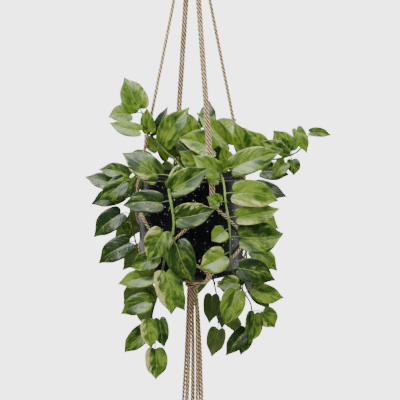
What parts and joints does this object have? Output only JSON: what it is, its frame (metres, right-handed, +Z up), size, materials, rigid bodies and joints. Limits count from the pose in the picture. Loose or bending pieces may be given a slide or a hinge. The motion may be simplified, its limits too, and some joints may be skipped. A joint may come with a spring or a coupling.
{
  "type": "hanging planter",
  "caption": "Knotted jute cord hanger with a netted, speckled glazed round pot, a trailing variegated plant and a cord tassel below.",
  "frame": {"origin": "the hang point: inside of the metal ring, at its top", "axes": "+Z up, -Y the front, +X to the right seen from the front"},
  "size_m": [0.453, 0.2707, 0.9995],
  "materials": {
    "ring": "satin",
    "cord": "matte",
    "glaze": "gloss",
    "liner": "satin",
    "soil": "matte",
    "stem": "satin",
    "leaf": "satin"
  },
  "bodies": {
    "ring": {"hanging_ring": "ring"},
    "crown": {"ring_loops": "cord", "top_wrap": "cord"},
    "hanger": {"arm_front_a": "cord", "arm_front_b": "cord", "arm_right_a": "cord", "arm_right_b": "cord", "arm_back_a": "cord", "arm_back_b": "cord", "arm_left_a": "cord", "arm_left_b": "cord", "net_front_a": "cord", "net_front_b": "cord", "net_right_a": "cord", "net_right_b": "cord", "net_back_a": "cord", "net_back_b": "cord", "net_left_a": "cord", "net_left_b": "cord", "net_knots": "cord", "gathering_knot": "cord", "pot": "glaze", "nursery_pot": "liner", "soil": "soil", "vine_front_left_stem": "stem", "vine_front_right_stem": "stem", "vine_left_stem": "stem", "vine_upper_left_stem": "stem", "vine_crown_stem": "stem", "vine_right_stem": "stem", "vine_right_back_stem": "stem", "vine_back_stem": "stem", "vine_back_left_stem": "stem", "vine_front_left_stalks": "stem", "vine_front_right_stalks": "stem", "vine_left_stalks": "stem", "vine_upper_left_stalks": "stem", "vine_crown_stalks": "stem", "vine_right_stalks": "stem", "vine_right_back_stalks": "stem", "vine_back_stalks": "stem", "vine_back_left_stalks": "stem", "vine_front_left_leaves": "leaf", "vine_front_right_leaves": "leaf", "vine_left_leaves": "leaf", "vine_upper_left_leaves": "leaf", "vine_crown_leaves": "leaf", "vine_right_leaves": "leaf", "vine_right_back_leaves": "leaf", "vine_back_leaves": "leaf", "vine_back_left_leaves": "leaf"},
    "tassel": {"tassel_cord_1": "cord", "tassel_cord_2": "cord", "tassel_cord_3": "cord", "tassel_cord_4": "cord", "tassel_cord_5": "cord", "tassel_cord_6": "cord", "tassel_cord_7": "cord", "tassel_cord_8": "cord"}
  },
  "joints": [
    {"name": "ring_swing", "type": "hinge", "parent": "ring", "child": "crown", "pos_m": [0, 0, -0.053], "axis": [1, 0, 0], "range_deg": [-20, 20]},
    {"name": "side_swing", "type": "hinge", "parent": "crown", "child": "hanger", "pos_m": [0, 0, -0.092], "axis": [0, 1, 0], "range_deg": [-20, 20]},
    {"name": "tassel_swing", "type": "hinge", "parent": "hanger", "child": "tassel", "pos_m": [0, 0, -0.7475], "axis": [0, 1, 0], "range_deg": [-25, 25]}
  ]
}
